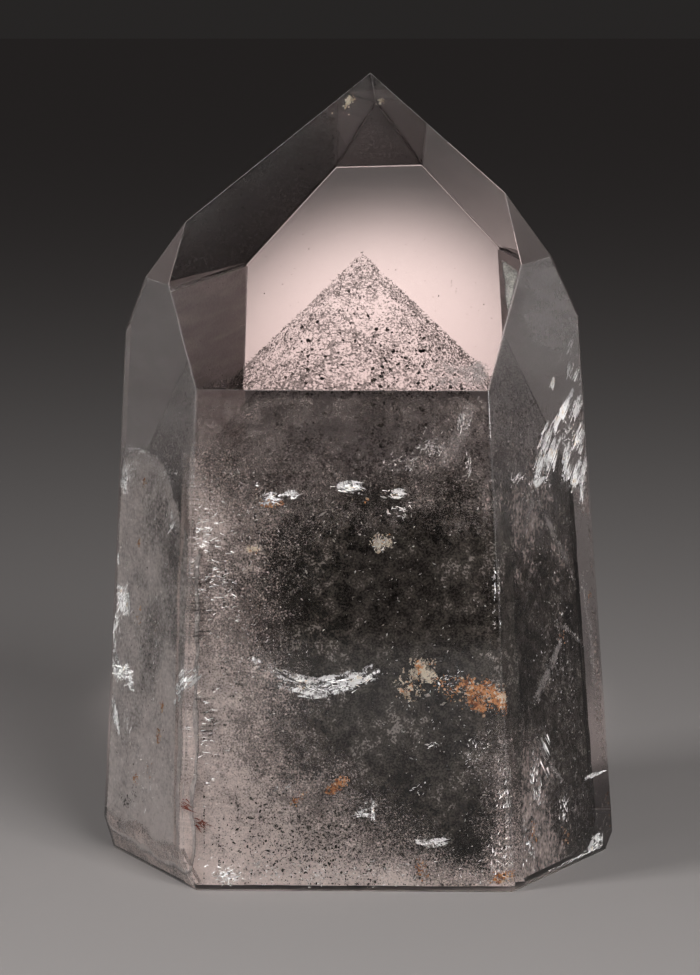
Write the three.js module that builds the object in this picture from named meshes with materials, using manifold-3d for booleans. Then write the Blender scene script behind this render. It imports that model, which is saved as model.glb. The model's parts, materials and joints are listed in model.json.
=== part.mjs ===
// A clear quartz point that stands on a flat ground base. Inside it is its phantom: the smaller
// crystal that it was at an earlier stage, dusted with chlorite, which later clear quartz grew over.
// Millimetres, +Z up. The front face looks along -Y, and the origin is on the floor inside the base.
import * as THREE from 'three';
import { ConvexGeometry } from 'three/addons/geometries/ConvexGeometry.js';
import { mergeVertices } from 'three/addons/utils/BufferGeometryUtils.js';
import Module from 'manifold-3d';

// Every face is flat. azimuth is the way it looks, in degrees, from the front (0) through +X (90).
// lean is how far it turns up from upright, and a face that leans below zero looks down.

// The six sides of the prism. reach is how far each stands from the origin, at the floor.
const SIDES = {
  front: { azimuth: -1.5, lean: 3.2, reach: 29.6 },
  frontRight: { azimuth: 62, lean: 4, reach: 32.4 },
  backRight: { azimuth: 113.5, lean: 3.5, reach: 33.2 },
  back: { azimuth: 175.5, lean: 2, reach: 28.7 },
  backLeft: { azimuth: 240.5, lean: 2, reach: 29.9 },
  frontLeft: { azimuth: 296, lean: 3, reach: 34.5 },
};

// The six faces of the tip, three wide ones and three narrow ones by turns.
// height is where each would meet an upright line through the origin.
const TIP_FACES = {
  front: { azimuth: -1.5, lean: 36, height: 103.4 },
  frontRight: { azimuth: 60, lean: 29, height: 132 },
  backRight: { azimuth: 113.5, lean: 36.5, height: 114.5 },
  back: { azimuth: 177, lean: 32, height: 130.1 },
  backLeft: { azimuth: 238.5, lean: 35.5, height: 111.6 },
  frontLeft: { azimuth: 298, lean: 29.5, height: 134.9 },
};

// The ground edge under the left side, and the corner that is knocked off at the right of the foot.
const FOOT_FACES = {
  leftBevel: { azimuth: 295, lean: -23, reach: 32.3 },
  rightChip: { azimuth: 96, lean: -33, reach: 34.6 },
};

// How far each side of the phantom runs inside the same side of the point.
const PHANTOM_DEPTHS = {
  front: 6.5,
  frontRight: 5,
  backRight: 5.5,
  back: 6.5,
  backLeft: 7,
  frontLeft: 7,
};

// The phantom's tip was never cut: its six faces are quartz's own, which turn up 38.2 degrees from
// upright, 60 degrees apart, and meet in one corner.
const PHANTOM_TIP = new THREE.Vector3(0.5, 0.5, 82);
const NATURAL_LEAN = 38.2;
const NATURAL_AZIMUTHS = [0, 60, 120, 180, 240, 300];

// The room between the phantom and the clear quartz that is grown over it.
const CLEARANCE = 0.3;

// How far the tool that makes room for the phantom reaches below the base.
const CUT_BELOW = 5;

// Points closer together than this are one corner.
const SAME_CORNER = 0.001;

const CLEAR_QUARTZ = new THREE.MeshStandardMaterial({
  name: 'clear_quartz',
  color: 0xc9c0bc,
  roughness: 0.04,
  metalness: 0,
  transparent: true,
  opacity: 0.45,
});

const CHLORITE_QUARTZ = new THREE.MeshStandardMaterial({
  name: 'chlorite_quartz',
  color: 0x3f3b36,
  roughness: 0.6,
  metalness: 0,
});

function outward({ azimuth, lean }) {
  const turn = THREE.MathUtils.degToRad(azimuth);
  const rise = THREE.MathUtils.degToRad(lean);
  return new THREE.Vector3(
    Math.sin(turn) * Math.cos(rise),
    -Math.cos(turn) * Math.cos(rise),
    Math.sin(rise),
  );
}

function planeThrough(normal, point) {
  return new THREE.Plane().setFromNormalAndCoplanarPoint(normal, point);
}

// A side or foot face goes through the floor at its reach.
function uprightPlane(face) {
  const turn = THREE.MathUtils.degToRad(face.azimuth);
  const onFloor = new THREE.Vector3(Math.sin(turn), -Math.cos(turn), 0).multiplyScalar(face.reach);
  return planeThrough(outward(face), onFloor);
}

function tipPlane(face) {
  return planeThrough(outward(face), new THREE.Vector3(0, 0, face.height));
}

function basePlane(below = 0) {
  return planeThrough(new THREE.Vector3(0, 0, -1), new THREE.Vector3(0, 0, -below));
}

// The same plane, moved outwards, or inwards where distance is below zero.
function moved(plane, distance) {
  return new THREE.Plane(plane.normal.clone(), plane.constant - distance);
}

function meetingPoint(a, b, c) {
  const bc = b.normal.clone().cross(c.normal);
  const ca = c.normal.clone().cross(a.normal);
  const ab = a.normal.clone().cross(b.normal);
  const spread = a.normal.dot(bc);
  if (Math.abs(spread) < 1e-9) return null;
  return bc
    .multiplyScalar(a.constant)
    .addScaledVector(ca, b.constant)
    .addScaledVector(ab, c.constant)
    .divideScalar(-spread);
}

// The corners of a crystal are the points where three of its faces meet and no face cuts them off.
function crystalCorners(planes) {
  const corners = [];
  planes.forEach((a, i) => {
    planes.slice(i + 1).forEach((b, j) => {
      planes.slice(i + j + 2).forEach((c) => {
        const point = meetingPoint(a, b, c);
        if (!point) return;
        if (planes.some((plane) => plane.distanceToPoint(point) > SAME_CORNER)) return;
        if (corners.some((corner) => corner.distanceTo(point) < SAME_CORNER * 2)) return;
        corners.push(point);
      });
    });
  });
  return corners;
}

function crystalGeometry(planes) {
  const geometry = new ConvexGeometry(crystalCorners(planes));
  geometry.deleteAttribute('normal');
  geometry.deleteAttribute('uv');
  return mergeVertices(geometry, SAME_CORNER);
}

const wasm = await Module();
wasm.setup();

function toSolid(geometry) {
  const vertProperties = new Float32Array(geometry.attributes.position.array);
  const triVerts = new Uint32Array(geometry.index.array);
  return new wasm.Manifold(new wasm.Mesh({ numProp: 3, vertProperties, triVerts }));
}

function toGeometry(solid) {
  const { vertProperties, triVerts } = solid.getMesh();
  const geometry = new THREE.BufferGeometry();
  geometry.setAttribute('position', new THREE.BufferAttribute(vertProperties, 3));
  geometry.setIndex(new THREE.BufferAttribute(triVerts, 1));
  return geometry;
}

function phantomSide([name, face]) {
  return moved(uprightPlane(face), -PHANTOM_DEPTHS[name]);
}

function phantomTipFace(azimuth) {
  return planeThrough(outward({ azimuth, lean: NATURAL_LEAN }), PHANTOM_TIP);
}

const phantomPlanes = [
  ...Object.entries(SIDES).map(phantomSide),
  ...NATURAL_AZIMUTHS.map(phantomTipFace),
];

// The clear quartz: the whole outer crystal, with room for the phantom, which is open at the base.
function quartzPoint() {
  const outside = crystalGeometry([
    ...Object.values(SIDES).map(uprightPlane),
    ...Object.values(TIP_FACES).map(tipPlane),
    ...Object.values(FOOT_FACES).map(uprightPlane),
    basePlane(),
  ]);
  const room = crystalGeometry([
    ...phantomPlanes.map((plane) => moved(plane, CLEARANCE)),
    basePlane(CUT_BELOW),
  ]);
  const mesh = new THREE.Mesh(toGeometry(toSolid(outside).subtract(toSolid(room))), CLEAR_QUARTZ);
  mesh.name = 'quartz_point';
  return mesh;
}

// The phantom: the earlier crystal, down to the base, where it was ground off with the rest.
function phantom() {
  const mesh = new THREE.Mesh(crystalGeometry([...phantomPlanes, basePlane()]), CHLORITE_QUARTZ);
  mesh.name = 'phantom';
  return mesh;
}

const phantomQuartzPoint = new THREE.Group();
phantomQuartzPoint.name = 'phantom_quartz_point';
phantomQuartzPoint.add(quartzPoint(), phantom());

export default phantomQuartzPoint;
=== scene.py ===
"""A clear quartz point with a chlorite phantom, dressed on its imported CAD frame.

The clear crystal and its phantom are sawn again from the flat faces of the frame's solids. What the
quartz holds, such as chlorite grains, healed fractures and iron stains, is mesh inside them. Lengths are
in metres, and in millimetres in the tables.
"""

import itertools
import json
import math

import bpy
import numpy as np
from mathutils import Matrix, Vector

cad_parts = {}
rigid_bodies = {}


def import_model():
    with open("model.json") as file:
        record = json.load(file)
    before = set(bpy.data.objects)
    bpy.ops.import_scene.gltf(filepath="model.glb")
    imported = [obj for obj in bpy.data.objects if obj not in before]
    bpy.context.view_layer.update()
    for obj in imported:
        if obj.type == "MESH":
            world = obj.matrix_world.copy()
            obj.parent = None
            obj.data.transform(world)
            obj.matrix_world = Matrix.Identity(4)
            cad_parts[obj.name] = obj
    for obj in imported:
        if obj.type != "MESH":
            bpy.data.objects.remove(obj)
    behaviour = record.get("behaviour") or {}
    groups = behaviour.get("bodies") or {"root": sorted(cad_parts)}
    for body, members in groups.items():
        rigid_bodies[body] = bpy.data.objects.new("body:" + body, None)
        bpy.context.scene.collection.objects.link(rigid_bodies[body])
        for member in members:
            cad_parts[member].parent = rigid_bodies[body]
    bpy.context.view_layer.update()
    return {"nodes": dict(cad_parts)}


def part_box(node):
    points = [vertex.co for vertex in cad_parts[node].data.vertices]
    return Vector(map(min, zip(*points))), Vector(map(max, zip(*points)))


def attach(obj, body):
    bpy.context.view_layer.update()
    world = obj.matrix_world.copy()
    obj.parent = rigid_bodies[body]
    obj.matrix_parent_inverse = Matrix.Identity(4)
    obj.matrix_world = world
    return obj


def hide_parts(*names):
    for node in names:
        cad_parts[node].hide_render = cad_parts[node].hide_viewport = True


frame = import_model()

MM = 0.001

# The camera, in the photograph's view: where it looks, how far off it is and how high above level.
LOOK_AT = Vector((-1.3, 0.0, 51.6)) * MM
CAMERA_DISTANCE = 543 * MM
CAMERA_RISE = math.radians(6.9)
FRAME_HEIGHT_MM = 36.0
LENS_MM = 141.5

# Quartz.
QUARTZ_IOR = 1.545
SMOKE_COLOUR = (0.42, 0.2, 0.17, 1.0)
SMOKE_DENSITY = 12.0
BASE_ROUGHNESS = 0.45
EDGE_WEAR = 0.09 * MM

# The middle of the crystal, and the width of the block that it is sawn from.
MIDDLE = Vector((0, 0, 0.05))
BLOCK = 0.3

# How far a corner may stand past a flat face, how alike two normals are that count as one, and how alike a
# face's normal stays to its own where the edges aren't worn.
FLAT_WITHIN = 0.02 * MM
SAME_WAY = 0.9999
UNWORN = 0.99999

# Thickness of the sheets inside the quartz.
SHEET_THICKNESS = 0.04 * MM

# How deep inside the quartz things lie at least: strokes, then sheets and the tip's specks, the faint veil,
# grains, and crusts.
STROKE_DEPTH = 0.25 * MM
LEAST_DEPTH = 0.3 * MM
VEIL_DEPTH = 0.35 * MM
GRAIN_DEPTH = 0.4 * MM
CRUST_DEPTH = 0.5 * MM

# How many random values there are each way before the lumps repeat.
LATTICE = 24

# The cover that marks a sheet's corner as standing out of the crystal.
STANDS_OUT = -1

# The spot behind the crystal, whose light on the floor glows through the tip's front face.
GLOW_POWER = 47.5
GLOW_COLOUR = (1.0, 0.92, 0.9)
GLOW_PLACE = Vector((0, 0.558, 0.255))
GLOW_AIM = Vector((-0.001, 0.1336, 0))
GLOW_CONE = math.radians(10.0)
GLOW_BLEND = 0.95
GLOW_WIDTH = 0.94
GLOW_RADIUS = 0.01

# The soft lights: name, place, width and height, power in watts. They all look at MIDDLE.
SOFT_LIGHTS = (
    ("key", (0.244, -0.603, 0.249), (0.32, 0.36), 4.2),
    ("right_box", (0.42, -0.43, 0.16), (0.3, 0.4), 0.2),
    ("left_box", (-0.5, -0.3, 0.25), (0.2, 0.3), 2.2),
)

# The pale floor: its colour, and how far it lies under the base and reaches.
FLOOR_COLOUR = (0.46, 0.43, 0.42, 1)
FLOOR_DROP = 0.02 * MM
FLOOR_RADIUS = 30.0

# The dark studio round it: at the level of the floor's far edge and higher up, and the heights, from 0 at
# the horizon to 1 overhead, between which the one turns into the other.
HORIZON = (0.020, 0.0185, 0.018)
SKY = (0.036, 0.034, 0.034)
HORIZON_UP_TO = 0.02
SKY_FROM = 0.4

CRYSTAL = "quartz_point"
PHANTOM = "phantom"

# Height of the phantom's tip, in millimetres.
PHANTOM_TIP_HIGH = 82.0


# Selecting and editing, as by hand.


def deselect_all():
    for thing in bpy.context.view_layer.objects:
        thing.select_set(False)


def pick(thing):
    deselect_all()
    bpy.context.view_layer.objects.active = thing
    thing.select_set(True)


def apply_place(thing):
    pick(thing)
    bpy.ops.object.transform_apply(location=True, rotation=True, scale=True)


def corner_array(thing):
    corners = np.empty(len(thing.data.vertices) * 3)
    thing.data.vertices.foreach_get("co", corners)
    return corners.reshape(-1, 3)


def set_corners(thing, corners):
    thing.data.vertices.foreach_set("co", np.ascontiguousarray(corners, float).ravel())
    thing.data.update()


def outer_faces(node):
    """The flat faces of a CAD node that no corner stands past, each as its normal and a point on it."""
    mesh = frame["nodes"][node].data
    corners = corner_array(frame["nodes"][node])
    faces = []
    for face in mesh.polygons:
        normal = face.normal.copy()
        point = face.center.copy()
        stands_past = (corners - np.array(point)) @ np.array(normal)
        if stands_past.max() > FLAT_WITHIN:
            continue
        if all(normal.dot(other) < SAME_WAY for other, _ in faces):
            faces.append((normal, point))
    return faces


def saw_crystal(name, faces, inwards=0.0):
    """A block sawn flat at every face of a crystal."""
    deselect_all()
    bpy.ops.mesh.primitive_cube_add(size=BLOCK, location=MIDDLE)
    crystal = bpy.context.object
    crystal.name = name
    apply_place(crystal)
    bpy.ops.object.mode_set(mode="EDIT")
    for normal, point in faces:
        bpy.ops.mesh.select_all(action="SELECT")
        bpy.ops.mesh.bisect(
            plane_co=point - normal * inwards, plane_no=normal, use_fill=True, clear_outer=True
        )
    bpy.ops.mesh.select_all(action="SELECT")
    bpy.ops.mesh.remove_doubles(threshold=0.01 * MM)
    bpy.ops.mesh.normals_make_consistent(inside=False)
    bpy.ops.object.mode_set(mode="OBJECT")
    return crystal


def face_looking(faces, azimuth, rise=0.0):
    """The flat face that looks most nearly this way, in degrees round from the front and up from level."""
    turn, lift = math.radians(azimuth), math.radians(rise)
    level = Vector((math.sin(turn), -math.cos(turn), 0)) * math.cos(lift)
    way = level + Vector((0, 0, math.sin(lift)))
    return max(faces, key=lambda face: face[0].dot(way))


# All the outer faces of the crystal and of its phantom, and the crystal's faces that the photograph shows.
OUTSIDE = outer_faces(CRYSTAL)
PHANTOM_FACES = outer_faces(PHANTOM)
FRONT = face_looking(OUTSIDE, 0)
RIGHT = face_looking(OUTSIDE, 62)
LEFT = face_looking(OUTSIDE, -64)
BEVEL = face_looking(OUTSIDE, -65, -23)
TIP = face_looking(OUTSIDE, 0, 36)


def behind(face, along, high, deep):
    """Places inside the crystal, each so far along a face, so high, and so far behind the face."""
    normal, point = face
    outward = np.array(Vector((normal.x, normal.y, 0)).normalized())
    level = np.array((-outward[1], outward[0], 0.0))
    along, high, deep = np.broadcast_arrays(along, high, deep)
    reach = (normal.dot(point) - deep - normal.z * high) / float(np.array(normal) @ outward)
    return along[..., None] * level + reach[..., None] * outward + high[..., None] * np.array((0, 0, 1.0))


def lumps(places, cell, seed):
    """Smooth random values from 0 to 1, in lumps about as wide as cell, at any number of places."""
    lattice = np.random.default_rng(seed).random((LATTICE, LATTICE, LATTICE))
    spots = np.asarray(places) / cell
    low = np.floor(spots).astype(int)
    share = spots - low
    share = share * share * (3 - 2 * share)
    total = np.zeros(len(spots))
    for corner in itertools.product((0, 1), repeat=3):
        weight = np.prod(np.where(corner, share, 1 - share), axis=1)
        total += weight * lattice[tuple(((low + corner) % LATTICE).T)]
    return total


def smooth(values, low, high):
    """Goes smoothly from 0 where a value is low to 1 where it is high."""
    share = np.clip((values - low) / (high - low), 0, 1)
    return share * share * (3 - 2 * share)


def new_piece(name, corners, faces):
    mesh = bpy.data.meshes.new(name)
    mesh.from_pydata(np.asarray(corners).tolist(), [], np.asarray(faces).tolist())
    piece = bpy.data.objects.new(name, mesh)
    bpy.context.scene.collection.objects.link(piece)
    return piece


def note(piece, name, values):
    """Writes one number on each corner of a piece, for its material to read."""
    attribute = piece.data.attributes.new(name, "FLOAT", "POINT")
    attribute.data.foreach_set("value", np.ascontiguousarray(values, np.float32))


def join_shapes(shapes):
    """The corners, faces and corner values of several shapes in one list each."""
    starts = np.cumsum([0] + [len(shape[0]) for shape in shapes])
    corners = np.concatenate([shape[0] for shape in shapes])
    faces = np.concatenate([shape[1] + start for shape, start in zip(shapes, starts)])
    values = np.concatenate([shape[2] for shape in shapes], axis=0)
    return corners, faces, values


def thicken(sheet):
    """Gives an open sheet its hair's breadth of thickness, so that it is a closed shell."""
    pick(sheet)
    shell = sheet.modifiers.new("shell", "SOLIDIFY")
    shell.thickness = SHEET_THICKNESS
    shell.offset = 0
    bpy.ops.object.modifier_apply(modifier=shell.name)


def ride(piece, material):
    piece.data.materials.clear()
    piece.data.materials.append(material)
    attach(piece, "root")
    return piece


# Shader maths.


class Wire:
    """One output of a shader node. Sums and products of wires add Math nodes to the material."""

    def __init__(self, shop, socket):
        self.shop = shop
        self.socket = socket

    def maths(self, operation, first, second):
        return self.shop.add("ShaderNodeMath", {"operation": operation}, {0: first, 1: second})

    def __add__(self, other):
        return self.maths("ADD", self, other)

    def __sub__(self, other):
        return self.maths("SUBTRACT", self, other)

    def __rsub__(self, other):
        return self.maths("SUBTRACT", other, self)

    def __mul__(self, other):
        return self.maths("MULTIPLY", self, other)

    __radd__ = __add__
    __rmul__ = __mul__


class Shop:
    """Builds one material's nodes."""

    def __init__(self, name):
        self.material = bpy.data.materials.new(name)
        self.material.use_nodes = True
        self.tree = self.material.node_tree
        self.tree.nodes.clear()
        self.place = self.add("ShaderNodeTexCoord", {}, {}, "Object")

    def add(self, kind, settings, inputs, output=0):
        node = self.tree.nodes.new(kind)
        for name, value in settings.items():
            setattr(node, name, value)
        for name, value in inputs.items():
            if isinstance(value, Wire):
                self.tree.links.new(value.socket, node.inputs[name])
            else:
                node.inputs[name].default_value = value
        return Wire(self, node.outputs[output])

    def noise(self, scale, detail=2.0, roughness=0.5, distortion=0.0, place=None):
        inputs = {
            "Vector": place or self.place,
            "Scale": scale,
            "Detail": detail,
            "Roughness": roughness,
            "Distortion": distortion,
        }
        return self.add("ShaderNodeTexNoise", {}, inputs)

    def grit(self, scale):
        """Grains about as wide as one over scale, from 0 to 1 with firm edges."""
        return self.step(self.noise(scale, 1.0, 0.5), 0.36, 0.64)

    def stretch(self, scale, turn=(0.0, 0.0, 0.0)):
        inputs = {"Vector": self.place, "Scale": scale, "Rotation": turn}
        return self.add("ShaderNodeMapping", {}, inputs)

    def note(self, name):
        return self.add("ShaderNodeAttribute", {"attribute_name": name}, {}, "Fac")

    def axis(self, letter):
        return self.add("ShaderNodeSeparateXYZ", {}, {"Vector": self.place}, letter)

    def step(self, value, low, high):
        """Goes smoothly from 0 where value is low to 1 where it is high."""
        settings = {"interpolation_type": "SMOOTHSTEP"}
        inputs = {"Value": value, "From Min": low, "From Max": high}
        return self.add("ShaderNodeMapRange", settings, inputs)

    def mix(self, share, first, second):
        """Mixes two colours. The Mix node's colours are its inputs 6 and 7, and its output 2."""
        first, second = (
            colour if isinstance(colour, Wire) else (*colour, 1.0) for colour in (first, second)
        )
        return self.add("ShaderNodeMix", {"data_type": "RGBA"}, {0: share, 6: first, 7: second}, 2)

    def blend(self, share, first, second):
        """Mixes two surfaces."""
        return self.add("ShaderNodeMixShader", {}, {0: share, 1: first, 2: second})

    def finish(self, surface, volume=None):
        out = self.tree.nodes.new("ShaderNodeOutputMaterial")
        self.tree.links.new(surface.socket, out.inputs["Surface"])
        if volume is not None:
            self.tree.links.new(volume.socket, out.inputs["Volume"])
        return self.material

    def dust(self, colour, alpha=1.0, roughness=0.6):
        """A dull skin. Quartz refracts almost as much as these minerals, so in it they have no gloss."""
        return self.skin(Base_Color=colour, Roughness=roughness, Specular_IOR_Level=0.0, Alpha=alpha)

    def skin(self, **inputs):
        named = {name.replace("_", " "): value for name, value in inputs.items()}
        return self.add("ShaderNodeBsdfPrincipled", {}, named)


# Materials.


def clear_quartz():
    """Polished quartz: clear, faintly smoky and rose. Its worn edges are whitish, whiter towards the tip as
    a painted highlight, and its base is ground.
    """
    shop = Shop("clear quartz")
    height = shop.axis("Z")
    ground = shop.step(height, 0.3 * MM, 0.1 * MM)
    glass = shop.skin(
        Base_Color=(1.0, 1.0, 1.0, 1.0),
        Roughness=ground * BASE_ROUGHNESS,
        IOR=QUARTZ_IOR,
        Transmission_Weight=1.0,
    )
    # Painted highlight: the whitish wear on the edges grows stronger towards the tip, standing in for
    # bright light along the tip's edges.
    tip_edge_highlight = shop.step(height, 86 * MM, 98 * MM) * 0.34 + 0.09
    worn = shop.note("worn") * shop.step(shop.noise(1300.0, 1.0, 0.7), 0.3, 0.6)
    chips_and_highlight = shop.dust((0.8, 0.76, 0.74, 1))
    surface = shop.blend(worn * tip_edge_highlight, glass, chips_and_highlight)
    smoke = shop.add("ShaderNodeVolumeAbsorption", {}, {"Color": SMOKE_COLOUR, "Density": SMOKE_DENSITY})
    return shop.finish(surface, smoke)


def chlorite(name, dark, light, alpha=1.0):
    """Dull grains, from a dark tone to a lighter one, that may let a little light through."""
    shop = Shop(name)
    tone = shop.noise(900.0)
    colour = shop.mix(shop.step(tone, 0.4, 0.6), dark, light)
    return shop.finish(shop.dust(colour, alpha))


def chlorite_dust():
    """Chlorite on the phantom's faces: a breath of dust on the left, dark moss on the lower right."""
    shop = Shop("chlorite dust")
    cover = shop.note("cover")
    patches = shop.noise(150.0, 2.0, 0.6)
    clumps = shop.grit(700.0)
    fine = shop.grit(2800.0)
    thick = cover * 1.1 + (patches - 0.5) * 1.1 + (clumps - 0.5) * 0.3 + (fine - 0.5) * 0.5
    alpha = shop.step(thick, 0.3, 0.66) * (cover * 0.55 + 0.42)
    moss = shop.grit(3600.0) * 0.42 + clumps * 0.3 + (patches - 0.5) * 1.3 + 0.36
    green = shop.mix(shop.step(moss, 0.3, 1.1), (0.013, 0.0105, 0.009), (0.1, 0.088, 0.077))
    colour = shop.mix(shop.step(moss, 1.0, 1.2), green, (0.34, 0.305, 0.28))
    return shop.finish(shop.dust(colour, alpha))


def pale_haze(name, grain, dark, light, azimuth=None, drawn_up=1.0):
    """Fine dust in soft clouds, thick where the cover is. grain says how gritty it is.

    Behind a flank, which shows it squeezed sideways, its grain is drawn out level along that face."""
    shop = Shop(name)
    if azimuth is not None:
        drawn = {
            "Vector": shop.place,
            "Rotation": (0, 0, math.radians(azimuth)),
            "Scale": (2.4, 2.4, drawn_up),
        }
        shop.place = shop.add("ShaderNodeMapping", {"vector_type": "TEXTURE"}, drawn)
    cover = shop.note("cover")
    clouds = shop.noise(260.0, 2.0, 0.65) - 0.5
    fine = shop.noise(4000.0, 1.0, 0.6) - 0.5
    clumps = shop.noise(1100.0, 1.0, 0.6) - 0.5
    thick = cover * 1.25 + clouds * 0.6 + fine * (2.6 * grain) + clumps * (0.7 * grain)
    alpha = shop.step(thick, 0.14, 1.16) * 0.96
    foot = shop.step(shop.axis("Z"), 14 * MM, 1 * MM)
    tone = fine + clumps * 0.5 + clouds * 0.9 + foot * 0.25 + cover * 0.4 + 0.2
    dust = shop.mix(shop.step(tone, -0.1, 1.1), dark, light)
    bright = shop.step(fine + clumps * 0.3, 0.2, 0.28)
    colour = shop.mix(bright * 0.6, dust, (0.98, 0.94, 0.9))
    return shop.finish(shop.dust(colour, alpha))


def faint_veil():
    """The slight cloudiness of the clear quartz, a breath of dust in it, here and there brushed."""
    shop = Shop("faint veil")
    cover = shop.note("cover")
    brushed = shop.noise(1.0, 2.0, 0.7, 0.4, shop.stretch((60.0, 60.0, 260.0), (0.5, 0.3, 0.0)))
    clouds = shop.step(brushed, 0.3, 0.7)
    fine = shop.grit(2600.0)
    alpha = cover * (clouds * 0.45 + 0.78) * (fine * 0.16 + 0.92)
    return shop.finish(shop.dust((0.64, 0.605, 0.595, 1), alpha))


def white_fracture():
    """Healed cracks, whose bright films throw the light back in streaks."""
    shop = Shop("white fracture")
    body = shop.note("body")
    streak = shop.note("streak")
    fine = shop.grit(4500.0)
    crumpled = shop.grit(1700.0)
    light = shop.step(streak * 1.1 + fine * 0.3 + crumpled * 0.3, 0.55, 1.15)
    colour = shop.mix(light, (0.16, 0.15, 0.145), (1.0, 0.99, 0.98))
    thick = body * 0.8 + (streak - 0.5) * 2.6 + (fine - 0.5) * 0.4 + (crumpled - 0.5) * 0.5
    alpha = shop.step(thick, 0.3, 1.0) * 0.85
    return shop.finish(shop.skin(Base_Color=colour, Metallic=0.3, Roughness=0.4, Alpha=alpha))


def bright_flake():
    """Tiny open flakes of crack, which mirror the room."""
    shop = Shop("bright flake")
    tone = shop.noise(900.0, 3.0, 0.6)
    colour = shop.mix(shop.step(tone, 0.44, 0.66), (1.0, 0.98, 0.96), (0.5, 0.44, 0.38))
    return shop.finish(shop.skin(Base_Color=colour, Metallic=0.6, Roughness=0.3))


def bright_stroke():
    """Ridges of open cracks: silvery white, some warm, some only grey."""
    shop = Shop("bright stroke")
    tone = shop.noise(600.0, 3.0, 0.7)
    white = shop.mix(shop.step(tone, 0.34, 0.5), (0.4, 0.38, 0.37), (1.0, 0.99, 0.98))
    colour = shop.mix(shop.step(tone, 0.6, 0.68), white, (0.9, 0.72, 0.52))
    return shop.finish(shop.skin(Base_Color=colour, Metallic=0.75, Roughness=0.3))


def red_thread():
    shop = Shop("red thread")
    return shop.finish(shop.dust((0.22, 0.05, 0.03, 1)))


def veil(name, colour, most):
    """Thin haze along healed cracks and growth lines, at most so thick."""
    shop = Shop(name)
    body = shop.note("body")
    streak = shop.note("streak")
    wisps = shop.noise(450.0, 5.0, 0.7)
    fine = shop.grit(3000.0)
    thick = body * 0.8 + (wisps - 0.5) * 1.6 + (streak - 0.5) * 0.7 + (fine - 0.5) * 0.4
    alpha = shop.step(thick, 0.2, 1.1) * most
    return shop.finish(shop.dust(colour, alpha))


def iron_stain():
    """Crusts of iron oxide, from cream over ochre to rust brown."""
    shop = Shop("iron stain")
    tone = shop.noise(1500.0, 3.0, 0.6)
    ochre = shop.mix(shop.step(tone, 0.38, 0.5), (0.74, 0.6, 0.44), (0.58, 0.26, 0.1))
    colour = shop.mix(shop.step(tone, 0.52, 0.62), ochre, (0.24, 0.075, 0.025))
    return shop.finish(shop.dust(colour))


def rust_bloom(name, rusty):
    """A thin bloom of cream clay and rust on a crack, in crumbs with black gaps. rusty goes from 0 to 1."""
    shop = Shop(name)
    body = shop.note("body")
    lean = (rusty - 0.5) * 0.26 - 0.25
    tone = shop.noise(420.0, 2.0, 0.5) * 0.6 + shop.noise(1900.0, 3.0, 0.7) * 0.9 + lean
    ochre = shop.mix(shop.step(tone, 0.4, 0.5), (0.85, 0.74, 0.6), (0.68, 0.3, 0.12))
    colour = shop.mix(shop.step(tone, 0.56, 0.66), ochre, (0.24, 0.075, 0.03))
    clumps = shop.noise(800.0, 4.0, 0.75)
    grit = shop.noise(2600.0, 3.0, 0.7)
    alpha = shop.step(body * 0.75 + (clumps - 0.5) * 1.9 + (grit - 0.5) * 2.6, 0.42, 0.62)
    return shop.finish(shop.dust(colour, alpha))


def cream_stain():
    """Cream clay with a little ochre."""
    shop = Shop("cream stain")
    tone = shop.noise(900.0, 3.0, 0.6)
    colour = shop.mix(shop.step(tone, 0.4, 0.65), (0.85, 0.76, 0.64), (0.5, 0.36, 0.24))
    return shop.finish(shop.dust(colour))


# The clear crystal.


def make_clear_crystal():
    """The outer crystal. Each face of its worn edges is marked for the material."""
    crystal = saw_crystal("clear_crystal", OUTSIDE)
    pick(crystal)
    wear = crystal.modifiers.new("wear", "BEVEL")
    wear.width = EDGE_WEAR
    wear.segments = 2
    wear.limit_method = "ANGLE"
    wear.angle_limit = math.radians(10)
    bpy.ops.object.modifier_apply(modifier=wear.name)
    worn = crystal.data.attributes.new("worn", "FLOAT", "FACE")
    for i, face in enumerate(crystal.data.polygons):
        flat = max(face.normal.dot(normal) for normal, _ in OUTSIDE)
        worn.data[i].value = 0.0 if flat > UNWORN else 1.0
    ride(crystal, clear_quartz())
    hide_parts(CRYSTAL)


# The phantom.


def uneven_shell(name, inwards, seed):
    """The phantom's faces, drawn in by a distance and made a little uneven."""
    film = saw_crystal(name, PHANTOM_FACES, inwards=inwards)
    pick(film)
    bpy.ops.object.mode_set(mode="EDIT")
    bpy.ops.mesh.select_all(action="SELECT")
    bpy.ops.mesh.quads_convert_to_tris()
    for _ in range(5):
        bpy.ops.mesh.subdivide(number_cuts=1)
    bpy.ops.object.mode_set(mode="OBJECT")
    corners = corner_array(film)
    rise = lumps(corners, 3 * MM, seed) + 0.5 * lumps(corners, 1.2 * MM, seed + 1)
    drawn = corners * (1 - np.array((1, 1, 0.0)) * (rise * 0.012)[:, None])
    set_corners(film, drawn)
    return film


def normals_of(piece):
    normals = np.empty(len(piece.data.vertices) * 3)
    piece.data.vertices.foreach_get("normal", normals)
    return normals.reshape(-1, 3)


def film_cover(places, normals):
    """How thick the dust lies on the phantom's faces, from 0 to 1."""
    x, y, z = (places / MM).T
    ragged = 8 * (lumps(places, 6 * MM, 35) - 0.5)
    on_right = smooth(normals @ np.array((0.88, -0.47, 0.0)), 0.75, 0.95)
    right = 0.45 + 0.55 * smooth(x + ragged, -20, 4)
    below = smooth(58 - z - 0.7 * ragged, 0, 12)
    above_foot = 0.55 + 0.45 * smooth(z + ragged, 3, 16)
    return 0.26 + 0.74 * right * below * above_foot * (1 - on_right * 0.35 * smooth(z, 30, 52))


def make_phantom_film():
    film = uneven_shell("phantom_film", 0.1 * MM, 11)
    note(film, "cover", film_cover(corner_array(film), normals_of(film)))
    ride(film, chlorite_dust())
    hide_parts(PHANTOM)


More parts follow.
